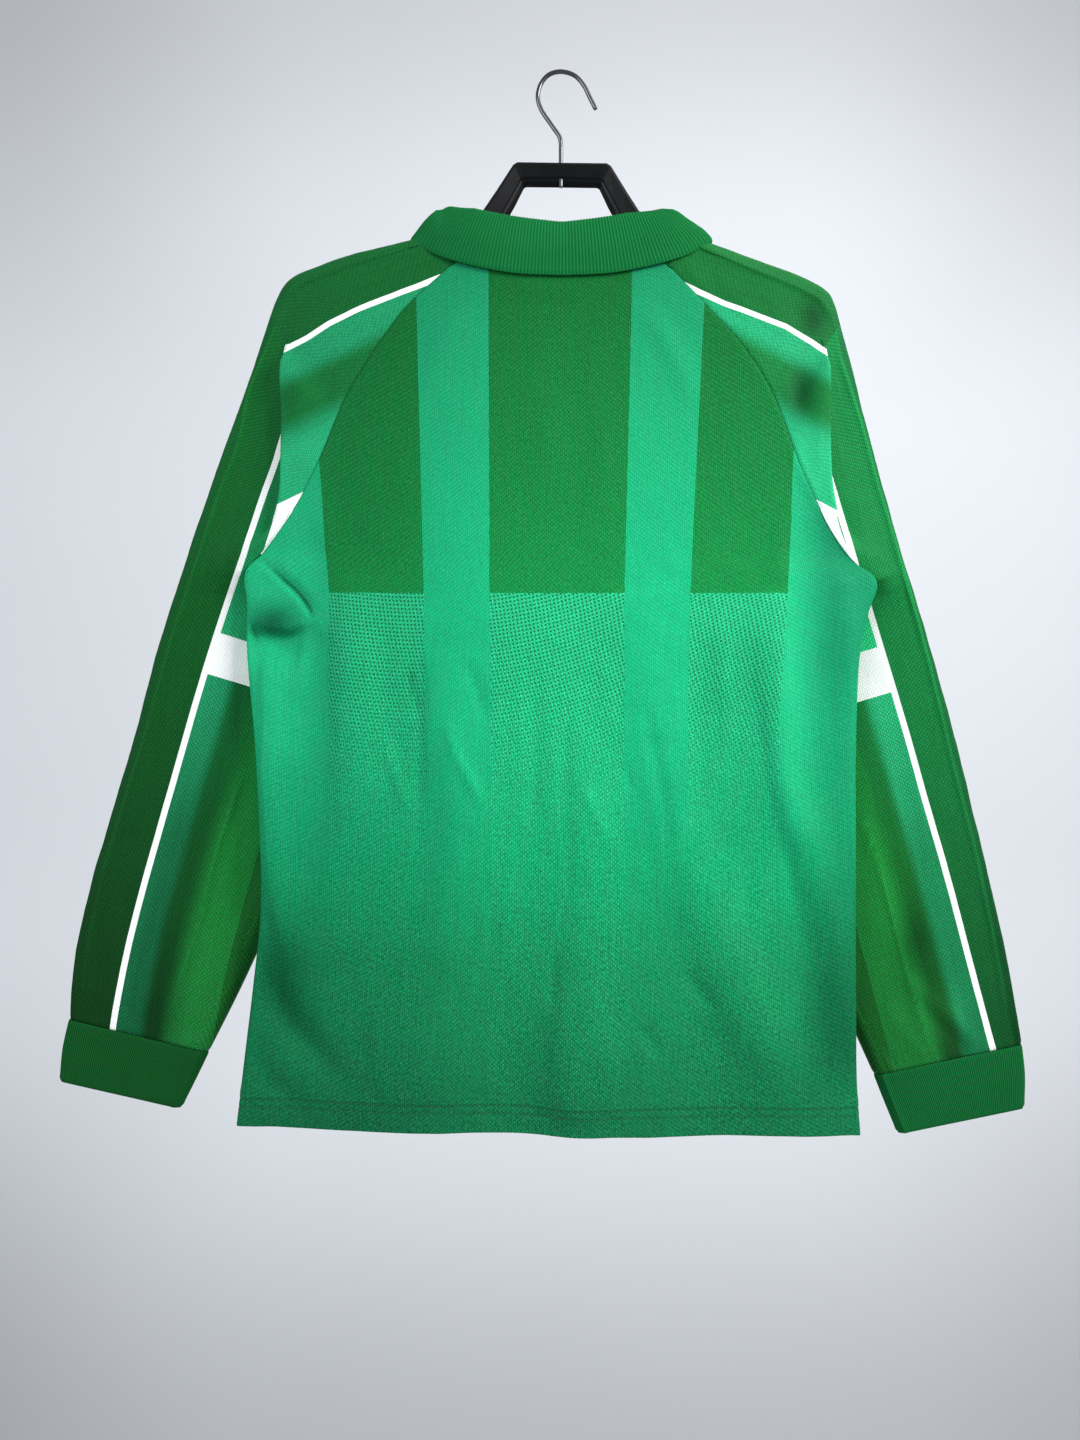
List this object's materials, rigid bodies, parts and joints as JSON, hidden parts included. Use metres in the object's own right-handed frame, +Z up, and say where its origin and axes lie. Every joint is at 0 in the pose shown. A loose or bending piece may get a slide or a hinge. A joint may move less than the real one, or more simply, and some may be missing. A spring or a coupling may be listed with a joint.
{
  "type": "goalkeeper jersey on a hanger",
  "caption": "Long-sleeved raglan goalkeeper jersey with a rib collar and rib cuffs, hanging from a plastic hanger with a wire hook.",
  "frame": {"origin": "inner top of the hanger's hook, the point that rests on whatever it hangs from", "axes": "+Z up; the garment's front faces -Y and its back faces +Y; +X is the wearer's left"},
  "size_m": [0.8428, 0.0517, 0.9226],
  "materials": {
    "body_knit": "light polyester mesh knit with a soft sheen",
    "sleeve_knit": "light polyester mesh knit with a soft sheen",
    "rib_knit": "matt rib knit",
    "black_plastic": "satin moulded plastic",
    "hook_steel": "bright drawn wire"
  },
  "bodies": {
    "root": {"back_panel": "body_knit", "front_panel": "body_knit", "sleeve_left": "sleeve_knit", "sleeve_right": "sleeve_knit", "cuff_left": "rib_knit", "cuff_right": "rib_knit", "collar": "rib_knit", "hanger_body": "black_plastic", "hanger_hook": "hook_steel"}
  },
  "joints": []
}
